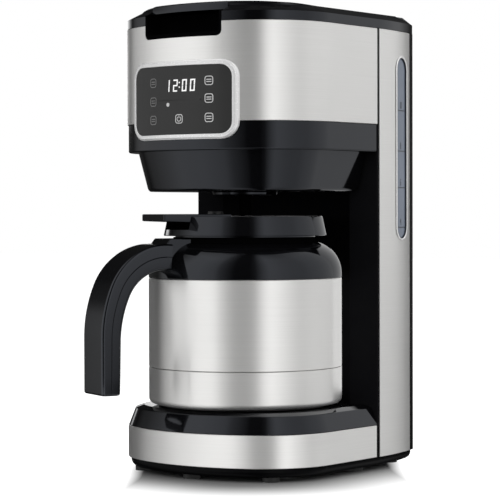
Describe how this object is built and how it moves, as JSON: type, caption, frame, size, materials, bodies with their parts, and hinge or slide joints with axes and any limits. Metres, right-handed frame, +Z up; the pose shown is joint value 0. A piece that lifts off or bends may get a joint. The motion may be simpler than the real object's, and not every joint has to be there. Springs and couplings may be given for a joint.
{
  "type": "drip coffee maker",
  "caption": "Drip coffee maker with a steel-wrapped base, column and head, a touch display, a hinged lid over the filter and an insulated carafe with an open-ended handle.",
  "frame": {"origin": "on the floor, on the carafe's axis, which is the middle of the overall box", "axes": "+Z up, -Y to the front (display and handle), +X to the side with the sight gauge"},
  "size_m": [0.1671, 0.2335, 0.3338],
  "materials": {
    "steel": "brushed",
    "black_plastic": "glossy",
    "dark_plastic": "satin",
    "rubber": "matte",
    "clear_plastic": "translucent",
    "gauge_trim": "satin",
    "satin_chrome": "satin",
    "display": "glossy",
    "inner_steel": "satin",
    "heater_metal": "cast",
    "hose": "silicone",
    "board": "solder mask"
  },
  "bodies": {
    "machine": {"feet": "rubber", "base_pan": "dark_plastic", "base_screws": "inner_steel", "base_band": "steel", "base_top": "black_plastic", "column_core": "black_plastic", "side_panel_right": "steel", "side_panel_left": "steel", "rear_cover": "black_plastic", "cord_bushing": "rubber", "water_tank": "clear_plastic", "check_valve": "hose", "cold_hose": "hose", "heater": "heater_metal", "heater_clamps": "inner_steel", "thermostat": "heater_metal", "thermal_fuse": "hose", "hot_hose": "hose", "riser_elbow": "hose", "riser_tube": "hose", "power_board": "board", "gauge_window": "clear_plastic", "gauge_ring": "gauge_trim", "head_shell": "steel", "head_housing": "black_plastic", "funnel_housing": "black_plastic", "filter_basket": "dark_plastic", "valve_bridge": "dark_plastic", "display_bezel": "satin_chrome", "display_glass": "display", "control_board": "board", "notch_tray": "black_plastic", "top_frame": "black_plastic", "lid_hinge_pins": "inner_steel"},
    "lid": {"lid": "black_plastic", "spreader": "dark_plastic"},
    "drip_stop": {"drip_stop_stem": "dark_plastic", "drip_stop_spring": "inner_steel"},
    "carafe": {"carafe_foot": "dark_plastic", "carafe_cup": "steel", "carafe_barrel": "steel", "carafe_liner": "inner_steel", "carafe_shoulder": "black_plastic", "handle_outer": "black_plastic", "handle_inner": "black_plastic"},
    "carafe_lid": {"carafe_lid": "black_plastic", "lever_pin": "inner_steel"},
    "thumb_lever": {"thumb_lever": "black_plastic"},
    "pour_valve": {"pour_valve": "dark_plastic", "pour_valve_spring": "inner_steel"}
  },
  "joints": [
    {"name": "lid_hinge", "type": "hinge", "parent": "machine", "child": "lid", "pos_m": [0, 0.098, 0.3271], "axis": [-1, 0, 0], "range_deg": [0, 85]},
    {"name": "drip_stop_slide", "type": "slide", "parent": "machine", "child": "drip_stop", "axis": [0, 0, 1], "range_m": [0, 0.004], "stiffness_N_per_m": 120, "springref_m": -0.01, "deforming": ["drip_stop_spring"]},
    {"name": "carafe_slide", "type": "slide", "parent": "machine", "child": "carafe", "axis": [0, -1, 0], "range_m": [0, 0.2]},
    {"name": "carafe_lid_turn", "type": "hinge", "parent": "carafe", "child": "carafe_lid", "pos_m": [0, 0, 0.17], "axis": [0, 0, 1], "range_deg": [0, 50]},
    {"name": "thumb_lever_press", "type": "hinge", "parent": "carafe_lid", "child": "thumb_lever", "pos_m": [-0.01811, -0.0401, 0.1825], "axis": [0.9114, -0.4115, 0], "range_deg": [0, 9]},
    {"name": "pour_valve_slide", "type": "slide", "parent": "carafe_lid", "child": "pour_valve", "axis": [0, 0, 1], "range_m": [0, 0.00279], "stiffness_N_per_m": 30, "springref_m": -0.01, "deforming": ["pour_valve_spring"]}
  ],
  "couplings": [
    {"joint": "thumb_lever_press", "follows": "pour_valve_slide", "rad_per_m": 50}
  ]
}
